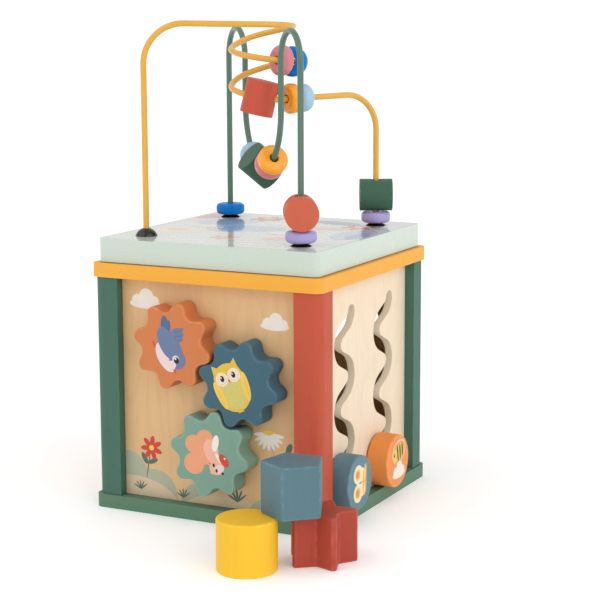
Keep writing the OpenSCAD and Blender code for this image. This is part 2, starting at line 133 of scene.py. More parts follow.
def maths(tree: Tree, kind: str, a: Socket | float, b: Socket | float) -> Socket:
    """Adds a Math node on two sockets or numbers and returns its result.

    Args:
        tree: tree that the node goes in.
        kind: operation name.
        a: first term.
        b: second term.

    Returns:
        The result socket.
    """
    node = tree.nodes.new("ShaderNodeMath")
    node.operation = kind
    for place, term in enumerate((a, b)):
        if isinstance(term, (int, float)):
            node.inputs[place].default_value = term
        else:
            tree.links.new(term, node.inputs[place])
    return node.outputs[0]


def mix_colour(tree: Tree, fac: Socket, a: Socket, b: Socket | tuple) -> Socket:
    """Mixes two colours.

    Args:
        tree: tree that the node goes in.
        fac: how much of b is taken.
        a: first colour.
        b: second colour, as a socket or as four linear numbers.

    Returns:
        The mixed colour.
    """
    node = tree.nodes.new("ShaderNodeMix")
    node.data_type = "RGBA"
    tree.links.new(fac, node.inputs["Factor"])
    tree.links.new(a, node.inputs[6])
    if isinstance(b, tuple):
        node.inputs[7].default_value = b
    else:
        tree.links.new(b, node.inputs[7])
    return node.outputs[2]


def total(tree: Tree, *terms: tuple[Socket, float]) -> Socket:
    """Adds up sockets, each times its weight."""
    result, *rest = [maths(tree, "MULTIPLY", value, weight) for value, weight in terms]
    for term in rest:
        result = maths(tree, "ADD", result, term)
    return result


def along_grain(tree: Tree, vector: Socket, squeeze: float) -> Socket:
    """Coordinates squeezed along the grain, so that noise on them runs long."""
    node = tree.nodes.new("ShaderNodeMapping")
    node.inputs["Scale"].default_value = (1.0, 1.0, squeeze)
    tree.links.new(vector, node.inputs["Vector"])
    return node.outputs[0]


@dataclass(frozen=True)
class Layer:
    """One layer of noise, and the part of its range that is stretched to 0 to 1."""

    scale: float
    detail: float
    rough: float
    low: float
    high: float

    def on(self, tree: Tree, vector: Socket) -> Socket:
        """Adds the layer's nodes on some coordinates and returns its value."""
        value = noise(tree, vector, self.scale, self.detail, self.rough)
        return ramp(tree, value, self.low, self.high)


FIBRES = Layer(95.0, 5.0, 0.6, 0.36, 0.66)
PORES = Layer(900.0, 2.0, 0.6, 0.56, 0.74)
MOTTLE = Layer(22.0, 3.0, 0.5, 0.3, 0.7)
RUBBED = Layer(160.0, 4.0, 0.65, 0.38, 0.66)
DRIFT = Layer(60.0, 3.0, 0.5, 0.3, 0.7)
SMEAR = Layer(210.0, 4.0, 0.7, 0.35, 0.75)


def make_wood_group() -> Tree:
    """Long grain, fine pores and slow mottling of sawn or painted wood."""
    tree = new_group("wood_grain",
                     {"Vector": (0, 0, 0), "Light": (1, 1, 1, 1), "Dark": (0.5, 0.5, 0.5, 1),
                      "Grain": 0.5, "Figure": 0.0, "Rough": 0.5},
                     ("Color", "Roughness", "Height"))
    src, out = tree.nodes["in"].outputs, tree.nodes["out"].inputs
    long = along_grain(tree, src["Vector"], 0.055)
    lines, pits = FIBRES.on(tree, long), PORES.on(tree, long)
    cloud = MOTTLE.on(tree, src["Vector"])
    grain = maths(tree, "MULTIPLY", total(tree, (lines, 0.55), (pits, 0.5), (cloud, 0.3)),
                  src["Grain"])
    growth = noise(tree, along_grain(tree, src["Vector"], 0.3), 11.0, 2.0, 0.45)
    waves = maths(tree, "SINE", maths(tree, "MULTIPLY", growth, 150.0), 0.0)
    figure = maths(tree, "MULTIPLY", ramp(tree, waves, 0.35, 1.0), src["Figure"])
    shade = maths(tree, "ADD", ramp(tree, grain, 0.0, 1.0), figure)
    tree.links.new(mix_colour(tree, shade, src["Light"], src["Dark"]), out["Color"])
    tree.links.new(total(tree, (pits, 0.10), (cloud, 0.08), (src["Rough"], 1.0)),
                   out["Roughness"])
    speck = noise(tree, src["Vector"], 1500.0, 1.0, 0.5)
    tree.links.new(total(tree, (speck, 0.25), (pits, -0.7), (lines, 0.4)), out["Height"])
    return tree


def make_wear_group() -> Tree:
    """Mask of edges where the paint is thin and rubbed, broken up by noise."""
    tree = new_group("edge_wear", {"Vector": (0, 0, 0), "Eased": 0.0, "Amount": 0.5},
                     ("Mask",))
    src = tree.nodes["in"].outputs
    edge = ramp(tree, src["Eased"], 0.3, 1.0)
    rub = maths(tree, "MULTIPLY", edge, RUBBED.on(tree, src["Vector"]))
    tree.links.new(maths(tree, "MULTIPLY", rub, src["Amount"]),
                   tree.nodes["out"].inputs["Mask"])
    return tree


def make_lacquer_group() -> Tree:
    """Slight ripple and speckle of sprayed lacquer or powder coat."""
    tree = new_group("lacquer", {"Vector": (0, 0, 0), "Tone": (1, 1, 1, 1),
                                 "Shade": (1, 1, 1, 1), "Rough": 0.3},
                     ("Color", "Roughness", "Height"))
    src, out = tree.nodes["in"].outputs, tree.nodes["out"].inputs
    slow, smear = DRIFT.on(tree, src["Vector"]), SMEAR.on(tree, src["Vector"])
    fine = noise(tree, src["Vector"], 1100.0, 2.0, 0.5)
    tree.links.new(mix_colour(tree, slow, src["Tone"], src["Shade"]), out["Color"])
    tree.links.new(total(tree, (smear, 0.12), (src["Rough"], 1.0)), out["Roughness"])
    tree.links.new(total(tree, (fine, 0.5), (slow, 0.6)), out["Height"])
    return tree


GROUPS = {"wood": make_wood_group(), "wear": make_wear_group(),
          "lacquer": make_lacquer_group()}
# Strength of the broad growth figure on wood that isn't painted.
BARE_FIGURE = 0.13
# How dark the slow drift of a lacquer's tone gets.
LACQUER_SHADE = 0.94
# Strength of every bump node, and roughness of every clear coat.
RELIEF = 0.6
COAT_ROUGH = 0.06
# Edges sharper than this are shaded as sharp, and those sharper than EASE_FROM rounded.
SHARP_FROM = math.radians(34)
EASE_FROM = math.radians(42)


class Coat(Enum):
    """Kinds of surface that the toy's pieces have."""

    PAINTED_WOOD = "painted_wood"
    BARE_WOOD = "bare_wood"
    LACQUER = "lacquer"
    METAL = "metal"


class GrainAxis(Enum):
    """Direction that the wood grain runs in."""

    X = (0.0, math.radians(90), 0.0)
    Y = (math.radians(90), 0.0, 0.0)
    Z = (0.0, 0.0, 0.0)


def linear(rgb: tuple[int, int, int], gain: float = 1.0) -> tuple[float, ...]:
    """Turns an 8-bit display colour into a linear colour with alpha.

    Args:
        rgb: red, green and blue, 0 to 255.
        gain: factor on the linear values.

    Returns:
        Four linear numbers.
    """
    def one(c: float) -> float:
        """Linear value of one channel."""
        c = c / 255
        return min(1.0, gain * (c / 12.92 if c <= 0.04045 else ((c + 0.055) / 1.055) ** 2.4))
    return (*[one(c) for c in rgb], 1.0)


@dataclass(frozen=True)
class Finish:
    """One surface finish and how its material is built."""

    name: str
    slot: str
    rgb: tuple[int, int, int]
    coat: Coat = Coat.PAINTED_WOOD
    axis: GrainAxis = GrainAxis.Z
    grain: float = 0.5
    rough: float = 0.45
    gloss: float = 0.0
    wear: float = 0.5
    bump: float = 0.00012
    dark: float = 0.80
    spec: float = 0.25

    def _group(self, tree: Tree, kind: str, place: Socket,
               values: dict[str, float | tuple]) -> bpy.types.Node:
        """Adds one of the shader groups with its coordinates and values."""
        node = tree.nodes.new("ShaderNodeGroup")
        node.node_tree = GROUPS[kind]
        for label, value in values.items():
            node.inputs[label].default_value = value
        tree.links.new(place, node.inputs["Vector"])
        return node

    def _body(self, tree: Tree, place: Socket) -> bpy.types.Node:
        """Adds the group that gives the finish its colour, roughness and height."""
        if self.coat in (Coat.PAINTED_WOOD, Coat.BARE_WOOD):
            figure = BARE_FIGURE if self.coat is Coat.BARE_WOOD else 0.0
            return self._group(tree, "wood", place, {
                "Light": linear(self.rgb), "Dark": linear(self.rgb, self.dark),
                "Grain": self.grain, "Figure": figure, "Rough": self.rough})
        return self._group(tree, "lacquer", place, {
            "Tone": linear(self.rgb), "Shade": linear(self.rgb, LACQUER_SHADE),
            "Rough": self.rough})

    def _worn(self, tree: Tree, place: Socket, colour: Socket) -> Socket:
        """Mixes a paler tone into the colour where edges are rubbed."""
        wear = self._group(tree, "wear", place, {"Amount": self.wear})
        eased = tree.nodes.new("ShaderNodeAttribute")
        eased.attribute_name = EASED
        tree.links.new(eased.outputs["Fac"], wear.inputs["Eased"])
        pale = (*[min(1.0, c * 1.35 + 0.04) for c in linear(self.rgb)[:3]], 1.0)
        return mix_colour(tree, wear.outputs["Mask"], colour, pale)

    def material(self) -> bpy.types.Material:
        """Returns the finish's material, built on first use."""
        label = f"{self.name}_finish"
        found = bpy.data.materials.get(label)
        if found:
            return found
        mat = bpy.data.materials.new(label)
        mat.use_nodes = True
        tree = mat.node_tree
        bsdf = tree.nodes["Principled BSDF"].inputs
        coord = tree.nodes.new("ShaderNodeTexCoord")
        turn = tree.nodes.new("ShaderNodeMapping")
        turn.inputs["Rotation"].default_value = self.axis.value
        tree.links.new(coord.outputs["Object"], turn.inputs["Vector"])
        body = self._body(tree, turn.outputs[0])
        colour = body.outputs["Color"]
        if self.coat in (Coat.PAINTED_WOOD, Coat.LACQUER) and self.wear > 0:
            colour = self._worn(tree, turn.outputs[0], colour)
        relief = tree.nodes.new("ShaderNodeBump")
        relief.inputs["Strength"].default_value = RELIEF
        relief.inputs["Distance"].default_value = self.bump
        tree.links.new(body.outputs["Height"], relief.inputs["Height"])
        tree.links.new(colour, bsdf["Base Color"])
        tree.links.new(body.outputs["Roughness"], bsdf["Roughness"])
        tree.links.new(relief.outputs["Normal"], bsdf["Normal"])
        bsdf["Specular IOR Level"].default_value = self.spec
        bsdf["Metallic"].default_value = float(self.coat is Coat.METAL)
        if self.gloss:
            bsdf["Coat Weight"].default_value = self.gloss
            bsdf["Coat Roughness"].default_value = COAT_ROUGH
        return mat


BASE = Finish("base_green", "base_paint", (91, 127, 103), axis=GrainAxis.X, grain=0.45)
GREEN = Finish("post_green", "green_paint", (69, 109, 95), grain=0.45)
RED = Finish("post_terracotta", "red_paint", (194, 84, 60), grain=0.45)
AMBER = Finish("rim_amber", "yellow_paint", (242, 172, 62), axis=GrainAxis.X, grain=0.35)
BIRCH = Finish("birch_ply", "birch", (226, 186, 136), Coat.BARE_WOOD, grain=0.42,
               rough=0.38, bump=0.00005, dark=0.74)
PALE_BIRCH = Finish("pale_birch_ply", "pale_birch", (242, 222, 194), Coat.BARE_WOOD,
                    grain=0.4, rough=0.4, bump=0.00005, dark=0.80)
# Pale cut-birch tone for the slider panel's rounded strips and slot walls, lightened into a
# painted highlight along the slot edges and painted light on the walls.
PALE_EDGE_HIGHLIGHT = Finish("cut_birch_edge_highlight", "pale_birch", (255, 240, 214), Coat.BARE_WOOD,
                    grain=0.25, rough=0.45, bump=0.00005, dark=0.9)
INNER_BIRCH = Finish("plug_birch", "birch", (214, 176, 128), Coat.BARE_WOOD,
                     axis=GrainAxis.X, grain=0.6)
GEAR_ORANGE = Finish("gear_orange_paint", "gear_orange_paint", (206, 124, 74), grain=0.35)
# The knob paints are lighter copies of the gear paints whose slots they share: painted light
# for the brightly lit side face the knobs sit on.
KNOB_ORANGE_LIT = Finish("knob_orange_lit_paint", "gear_orange_paint", (238, 148, 76), grain=0.35)
GEAR_BLUE = Finish("gear_blue_paint", "gear_blue_paint", (64, 101, 116), grain=0.35)
KNOB_BLUE_LIT = Finish("knob_blue_lit_paint", "gear_blue_paint", (98, 132, 144), grain=0.35)
GEAR_TEAL = Finish("gear_teal_paint", "gear_teal_paint", (124, 160, 144), grain=0.35)
GEAR_PAINT = {"orange": GEAR_ORANGE, "blue": GEAR_BLUE, "teal": GEAR_TEAL}
DOWEL = Finish("beech_dowel", "dowel", (216, 184, 138), Coat.BARE_WOOD, axis=GrainAxis.Y,
               grain=0.8, rough=0.55)
STEM = Finish("beech_stem", "dowel", (216, 184, 138), Coat.BARE_WOOD, axis=GrainAxis.X,
              grain=0.8, rough=0.55)
NYLON = Finish("natural_nylon", "bush_plastic", (232, 226, 210), Coat.LACQUER, rough=0.35,
               wear=0.0)
ZINC = Finish("zinc_plate", "steel", (190, 190, 188), Coat.METAL, rough=0.32, wear=0.0)
MINT = Finish("lid_mint", "lid_paint", (197, 211, 198), axis=GrainAxis.X, grain=0.14,
              rough=0.24, gloss=0.9, wear=0.25, bump=0.0000006, dark=0.88)
BLACK = Finish("cap_black", "black_cap", (16, 16, 17), Coat.LACQUER, rough=0.16, gloss=0.6,
               wear=0.2, bump=0.00002)
WIRE_YELLOW = Finish("wire_amber", "yellow_wire", (228, 170, 62), Coat.LACQUER, rough=0.3,
                     gloss=0.5, wear=0.0)
WIRE_GREEN = Finish("wire_green", "green_wire", (84, 117, 101), Coat.LACQUER, rough=0.3,
                    gloss=0.5, wear=0.0)
BEAD_BLUE = Finish("bead_bright_blue", "bead_blue", (0, 122, 208), Coat.LACQUER,
                   rough=0.3, gloss=0.12, wear=0.0, spec=0.12)
BEAD_LILAC = Finish("bead_lilac", "bead_lilac", (170, 160, 216), Coat.LACQUER, rough=0.26,
                    gloss=0.5, wear=0.2)
BEAD_PINK = Finish("bead_rose", "bead_pink", (216, 126, 132), Coat.LACQUER, rough=0.3,
                   gloss=0.4, wear=0.2)
BEAD_ORANGE = Finish("bead_marigold", "bead_orange", (255, 168, 36), Coat.LACQUER,
                     rough=0.26, gloss=0.5, wear=0.2)
BEAD_SKY = Finish("bead_sky", "bead_sky", (164, 198, 224), Coat.LACQUER, rough=0.3,
                  gloss=0.4, wear=0.2)
BEAD_RED = Finish("bead_brick", "bead_red", (200, 86, 62), grain=0.65, rough=0.42)
BEAD_CORAL = Finish("bead_coral", "bead_red", (204, 98, 72), grain=0.6, rough=0.42)
BEAD_GREEN = Finish("bead_forest", "bead_green", (62, 100, 80), axis=GrainAxis.X,
                    grain=0.6, rough=0.42)
BLOCK_YELLOW = Finish("block_yellow", "block_yellow", (244, 192, 46), grain=0.35,
                      rough=0.42)
BLOCK_BLUE = Finish("block_blue", "block_blue", (88, 121, 132), grain=0.45, rough=0.42)
BLOCK_RED = Finish("block_brick", "block_red", (176, 70, 52), grain=0.5, rough=0.42)


class Ink(Enum):
    """Colours of the printed decoration."""

    WHITE = (240, 232, 222)
    POPPY = (206, 74, 60)
    LEAF = (86, 116, 96)
    SAGE = (176, 178, 156)
    SAND = (214, 192, 160)
    BUTTER = (238, 200, 88)
    SLATE = (108, 124, 158)
    SLATE_DARK = (88, 106, 140)
    BLUSH = (232, 208, 206)
    OCHRE = (224, 186, 70)
    OLIVE = (206, 198, 116)
    PEACH = (232, 160, 120)
    PEACH_LIGHT = (238, 182, 158)
    NIGHT = (42, 44, 52)
    CREAM = (240, 226, 190)
    SKY = (120, 160, 190)
    ROSE = (206, 110, 100)
    POPPY_PALE = (226, 140, 84)
    MIST = (222, 227, 215)
    HAZE = (176, 198, 206)

    def material(self, slot: "Finish") -> bpy.types.Material:
        """Printed ink that keeps the gloss of the surface it is on.

        Args:
            slot: finish of the printed surface.

        Returns:
            The ink's material.
        """
        return Finish(f"ink_{self.name.lower()}_{slot.slot}", slot.slot, self.value,
                      Coat.LACQUER, rough=slot.rough, gloss=slot.gloss, wear=0.0,
                      bump=min(slot.bump, 0.00002)).material()


# ---------------------------------------------------------------- mesh helpers
def tidy_edges(bm: Mesh) -> None:
    """Smooths every face and marks the edges that are still sharp."""
    for face in bm.faces:
        face.smooth = True
    for edge in bm.edges:
        edge.smooth = edge.calc_face_angle(0.0) < SHARP_FROM


def publish(bm: Mesh, name: str, body: str, slot: str,
            mats: list[bpy.types.Material], weighted: bool = False) -> bpy.types.Object:
    """Turns a bmesh into a finished piece that rides on a body.

    Args:
        bm: the mesh, in metres and in the object's frame; it is freed.
        name: name of the piece.
        body: body that the piece moves with.
        slot: its material slot, which is not used.
        mats: its materials, in the order of the faces' material indices.
        weighted: whether flat faces keep flat shading beside rounded edges.

    Returns:
        The new object.
    """
    tidy_edges(bm)
    mesh = bpy.data.meshes.new(name)
    bm.to_mesh(mesh)
    bm.free()
    piece = add(name, mesh)
    for mat in mats:
        mesh.materials.append(mat)
    if weighted:
        soft = piece.modifiers.new("flat_faces", "WEIGHTED_NORMAL")
        soft.keep_sharp = True
        soft.weight = 80
    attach(piece, body)
    log.info("%s: %d faces on %s", name, len(mesh.polygons), body)
    return piece


def copy_node(node: str) -> Mesh:
    """Copies a CAD node's mesh, merged and with its flat faces joined."""
    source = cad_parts[node]
    bm = bmesh.new()
    bm.from_mesh(source.data)
    bm.transform(source.matrix_world)
    bmesh.ops.remove_doubles(bm, verts=bm.verts, dist=2e-6)
    bmesh.ops.dissolve_limit(bm, angle_limit=math.radians(0.6), verts=bm.verts,
                             edges=bm.edges)
    return bm


def round_edges(bm: Mesh, width: float, segments: int,
                rim_index: int) -> None:
    """Rounds the corner edges and marks the rounded strips as eased.

    Args:
        bm: mesh to change.
        width: width of the rounding, in millimetres.
        segments: steps across the rounding.
        rim_index: material index that the rounded strips end up with.
    """
    layer = bm.loops.layers.float_color.new(EASED)
    edges = [e for e in bm.edges if e.is_manifold and e.calc_face_angle(0.0) > EASE_FROM]
    bmesh.ops.bevel(bm, geom=edges, offset=width * MM, offset_type="OFFSET",
                    affect="EDGES", segments=segments, profile=0.5, material=STRIP,
                    clamp_overlap=True, miter_outer="ARC")
    for face in bm.faces:
        worn = 1.0 if face.material_index == STRIP else 0.0
        for loop in face.loops:
            loop[layer] = (worn, worn, worn, 1.0)
        if worn:
            face.material_index = rim_index


@dataclass
class SoftCopy:
    """A piece that follows a CAD node, with its edges eased as sanding leaves them.

    A rim finish goes on the rounded strips and on the walls cut through the panel; on the
    slider panel it is pale birch with a painted highlight and painted light.
    """

    node: str
    body: str
    finish: Finish
    ease: float
    segments: int
    rim: Finish | None = None

    def build(self) -> None:
        """Builds the piece and hides the node it stands for."""
        bm = copy_node(self.node)
        mats = [self.finish.material()]
        if self.rim:
            mats.append(self.rim.material())
        # Faces that don't face ±X (the slot walls) take the rim finish, which on the slider
        # panel is painted light.
        for face in bm.faces:
            face.material_index = int(bool(self.rim) and abs(face.normal.x) < 0.5)
        round_edges(bm, self.ease, self.segments, len(mats) - 1)
        piece = publish(bm, f"{self.node}_shaped", self.body, self.finish.slot, mats, True)
        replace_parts(piece, self.node)


def ease_all(body: str | None, *rows: tuple) -> None:
    """Builds soft copies of several nodes.

    Args:
        body: body that they ride on, or None where each node is its own body.
        rows: each node's name, then the finish and the other fields of its SoftCopy.
    """
    for node, *fields in rows:
        SoftCopy(node, body or node, *fields).build()


@dataclass
class RoundBead:
    """A turned bead: a ring or a flattened ball, spun about its hole."""

    node: str
    finish: Finish
    radius: float
    hole: float
    half: float
    edge: float
    heading: Vector
    lip: float = 0.9

    def section(self) -> list[Vector]:
        """Closed section of the bead on one side of its axis."""
        inner, outer = (self.hole, 1, self.lip), (self.radius, -1, self.edge)
        points = []
        for (x, sx, r), z, sz in ((inner, -self.half, 1), (outer, -self.half, 1),
                                  (outer, self.half, -1), (inner, self.half, -1)):
            steps = 9 if r > 1.5 else 5
            arc = [Vector((x + sx * r * (1 - math.cos(t)), 0.0,
                           z + sz * r * (1 - math.sin(t))))
                   for t in (math.pi / 2 * i / (steps - 1) for i in range(steps))]
            points += arc if sx * sz > 0 else reversed(arc)
        return points

    def build(self) -> None:
        """Spins the bead's section about its hole and sets it on the wire."""
        bm = bmesh.new()
        verts = [bm.verts.new(p * MM) for p in self.section()]
        edges = [bm.edges.new(pair) for pair in zip(verts, verts[1:] + verts[:1])]
        bmesh.ops.spin(bm, geom=verts + edges, cent=(0, 0, 0), axis=(0, 0, 1),
                       dvec=(0, 0, 0), angle=math.tau, steps=72, use_merge=True)
        bmesh.ops.remove_doubles(bm, verts=bm.verts, dist=1e-7)
        bmesh.ops.recalc_face_normals(bm, faces=bm.faces)
        turn = Vector((0, 0, 1)).rotation_difference(self.heading).to_matrix().to_4x4()
        bm.transform(Matrix.Translation(middle(self.node) * MM) @ turn)
        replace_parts(publish(bm, f"{self.node}_turned", self.node, self.finish.slot,
                            [self.finish.material()]), self.node)


@dataclass
class PrintSheet:
    """Flat decoration on one face, made of thin discs in ink, each over the last."""

    name: str
    body: str
    finish: Finish
    origin: Vector | tuple[float, float, float]
    right: tuple[float, float, float]
    up: tuple[float, float, float]
    turn: float = 0.0
    bounds: tuple[float, float, float, float] | None = None
    thick: float = 0.03
    step: float = 0.005

    def __post_init__(self) -> None:
        """Starts an empty sheet."""
        self.bm = bmesh.new()
        self.inks: list[Ink] = []
        self.level = 0

    def disc(self, ink: Ink, x: float, y: float, rx: float, ry: float,
             turn: float = 0.0, sides: int = 48) -> None:
        """Lays an ellipse, or a polygon when it has few sides.

        Args:
            ink: its colour.
            x: place to the right of the sheet's origin, in millimetres.
            y: place above the sheet's origin.
            rx: half width.
            ry: half height.
            turn: turn in degrees, counter-clockwise.
            sides: number of sides.
        """
        self.level += 1
        rise = self.thick + self.level * self.step
        place = (Matrix.Translation((x, y, rise / 2))
                 @ Matrix.Rotation(math.radians(turn), 4, "Z")
                 @ Matrix.Diagonal((rx, ry, 1, 1)))
        made = bmesh.ops.create_cone(self.bm, cap_ends=True, segments=sides, radius1=1,
                                     radius2=1, depth=rise, matrix=place)
        if ink not in self.inks:
            self.inks.append(ink)
        index = self.inks.index(ink)
        for face in {f for v in made["verts"] for f in v.link_faces}:
            face.material_index = index
        if self.bounds:
            self._trim(made["verts"], index)

    def _trim(self, verts: list[bmesh.types.BMVert], index: int) -> None:
        """Cuts a disc off at the sheet's bounds and closes it again."""
        left, right, low, high = self.bounds
        for co, no in (((left, 0, 0), (-1, 0, 0)), ((right, 0, 0), (1, 0, 0)),
                       ((0, low, 0), (0, -1, 0)), ((0, high, 0), (0, 1, 0))):
            faces = {f for v in verts if v.is_valid for f in v.link_faces}
            geom = (list({v for f in faces for v in f.verts})
                    + list({e for f in faces for e in f.edges}) + list(faces))
            if not geom:
                break
            cut = bmesh.ops.bisect_plane(self.bm, geom=geom, plane_co=co, plane_no=no,
                                         clear_outer=True)
            rim = [e for e in cut["geom_cut"] if isinstance(e, bmesh.types.BMEdge)]
            if rim:
                for face in bmesh.ops.holes_fill(self.bm, edges=rim, sides=0)["faces"]:
                    face.material_index = index
            verts = [v for v in {v for g in (geom, cut["geom_cut"]) for v in g
                                 if isinstance(v, bmesh.types.BMVert)} if v.is_valid]

    def lay(self, *rows: tuple) -> None:
        """Lays one disc for each row of disc's arguments, in order."""
        for row in rows:
            self.disc(*row)

    def petals(self, ink: Ink, x: float, y: float, count: int, reach: float,
               rx: float, ry: float, start: float = 90.0, span: float = 360.0) -> None:
        """Lays a fan of petals round a point.

        Args:
            ink: their colour.
            x: centre to the right.
            y: centre upwards.
            count: number of petals.
            reach: distance from the centre to each petal's middle.
            rx: half length of a petal.
            ry: half width of a petal.
            start: direction of the first petal.
            span: angle that the petals cover.
        """
        for i in range(count):
            a = start + span * i / (count if span >= 360 else count - 1)
            self.disc(ink, x + reach * math.cos(math.radians(a)),
                      y + reach * math.sin(math.radians(a)), rx, ry, a, 28)

    def cloud(self, ink: Ink, x: float, y: float, w: float) -> None:
        """Lays a small cloud of overlapping puffs, w millimetres wide."""
        self.lay((ink, x, y - 0.10 * w, 0.48 * w, 0.13 * w),
                 (ink, x - 0.22 * w, y, 0.19 * w, 0.16 * w),
                 (ink, x + 0.04 * w, y + 0.10 * w, 0.22 * w, 0.22 * w),
                 (ink, x + 0.28 * w, y - 0.01 * w, 0.16 * w, 0.14 * w))

    def build(self) -> None:
        """Sets the sheet on its face and publishes it."""
        right, up = Vector(self.right), Vector(self.up)
        facing = Matrix((right, up, right.cross(up))).transposed().to_4x4()
        self.bm.transform(Matrix.Scale(MM, 4) @ Matrix.Translation(self.origin) @ facing
                          @ Matrix.Rotation(math.radians(self.turn), 4, "Z"))
        bmesh.ops.recalc_face_normals(self.bm, faces=self.bm.faces)
        publish(self.bm, self.name, self.body, self.finish.slot,
                [ink.material(self.finish) for ink in self.inks])


# ---------------------------------------------------------------- sub-assemblies
@dataclass
class Box:
    """The base, posts, rim and four panels of the cube."""

    body: str = "carcass"
    panel_out: float = 90.5
    panel: tuple[float, float, float, float] = (-76.6, 76.6, 11.2, 185.4)

    def build(self) -> None:
        """Builds every fixed wooden piece and its decoration."""
        ease_all(self.body, ("base_board", BASE, 1.1, 4),
                 ("post_front_left", GREEN, 0.8, 3), ("post_front_right", RED, 0.8, 3),
                 ("post_back_right", GREEN, 0.8, 3), ("post_back_left", RED, 0.8, 3),
                 ("rim_frame", AMBER, 1.0, 4), ("gear_panel", BIRCH, 0.25, 2),
                 # The slider panel's rounded strips and slot walls carry a painted highlight.
                 ("slider_panel", PALE_BIRCH, 0.7, 3, PALE_EDGE_HIGHLIGHT),
                 ("shape_panel", BIRCH, 0.4, 2), ("side_panel", BIRCH, 0.25, 2),
                 ("gear_washers", NYLON, 0.05, 1), ("base_screws", ZINC, 0.15, 2),
                 ("rim_screws", ZINC, 0.15, 2))
        self.meadow()
        self.back_print()
        self.side_print()

    def sheet(self, name: str, right: tuple[float, float, float]) -> PrintSheet:
        """Starts a print on the outside of the panel whose right-hand way is given."""
        up = (0, 0, 1)
        return PrintSheet(name, self.body, BIRCH,
                          Vector(right).cross(Vector(up)) * self.panel_out, right, up,
                          bounds=self.panel)

    def meadow(self) -> None:
        """Hills, clouds and flowers printed on the gear panel."""
        s = self.sheet("meadow_print", (1, 0, 0))
        s.cloud(Ink.WHITE, -56.5, 168.5, 29)
        s.cloud(Ink.WHITE, 57.0, 159.3, 25)
        s.lay((Ink.SAGE, -74, 20, 19, 26.5), (Ink.SAGE, -50, 14, 20, 20),
              (Ink.SAGE, -13, 8, 14, 18.5), (Ink.SAND, -70, 4, 42, 23),
              (Ink.SAND, 14, 2, 42, 18), (Ink.SAGE, 66, 6, 34, 20))
        self.poppy(s, -52.9, 51.0)
        self.daisy(s, 51.4, 71.0)
        s.lay((Ink.LEAF, 68.6, 63.5, 2.3, 4.6, -24), (Ink.LEAF, 66.6, 56.5, 0.35, 4.6, -14))
        for x, z, size in ((-63.1, 16.5, 6.2), (-24.1, 14.2, 6.2), (24, 17, 8.5),
                           (55, 20, 7.5)):
            self.tuft(s, x, z, size)
        s.build()

    def poppy(self, s: PrintSheet, x: float, z: float) -> None:
        """A small red flower with a stem and two leaves."""
        s.lay((Ink.LEAF, x - 3.2, z - 14.5, 0.5, 10.5, -9),
              (Ink.LEAF, x - 6.4, z - 9.0, 2.1, 5.0, 28),
              (Ink.LEAF, x + 1.2, z - 10.6, 4.6, 1.9, 24))
        s.petals(Ink.POPPY, x, z, 7, 5.6, 4.2, 2.0, 82)
        s.disc(Ink.BUTTER, x, z, 2.2, 2.2)

    def daisy(self, s: PrintSheet, x: float, z: float) -> None:
        """A drooping white flower with a short stem."""
        s.disc(Ink.SAGE, x + 4.2, z - 13, 0.5, 9.5, 14)
        s.petals(Ink.WHITE, x, z + 2.5, 9, 7.2, 6.0, 1.5, 186, 168)
        s.disc(Ink.BUTTER, x, z + 3.6, 5.0, 1.7, 4)

    def tuft(self, s: PrintSheet, x: float, z: float, size: float) -> None:
        """A tuft of short grass blades."""
        for lean in (62, 34, 6, -22, -50):
            s.disc(Ink.LEAF, x - 0.55 * size * math.sin(math.radians(lean)),
                   z + 0.55 * size * math.cos(math.radians(lean)),
                   0.09 * size, 0.62 * size, lean, 20)

    def back_print(self) -> None:
        """Clouds, hills and small flowers on the shape panel."""
        s = self.sheet("back_print", (-1, 0, 0))
        s.cloud(Ink.WHITE, 0, 168, 26)
        s.lay((Ink.SAGE, 55, 2, 46, 26), (Ink.SAND, -52, 0, 48, 24))
        self.poppy(s, -55, 56)
        self.tuft(s, 45, 17, 7)
        self.tuft(s, -28, 15, 6.5)
        s.build()

    def side_print(self) -> None:
        """Hills, a cloud and flowers on the plain side panel."""
        s = self.sheet("side_print", (0, -1, 0))
        s.cloud(Ink.WHITE, -40, 158, 34)
        s.cloud(Ink.WHITE, 42, 138, 26)
        s.lay((Ink.SAGE, -50, 4, 52, 38), (Ink.SAND, 46, 2, 58, 32))
        self.poppy(s, -30, 60)
        self.daisy(s, 40, 58)
        self.tuft(s, 8, 20, 8)
        s.build()


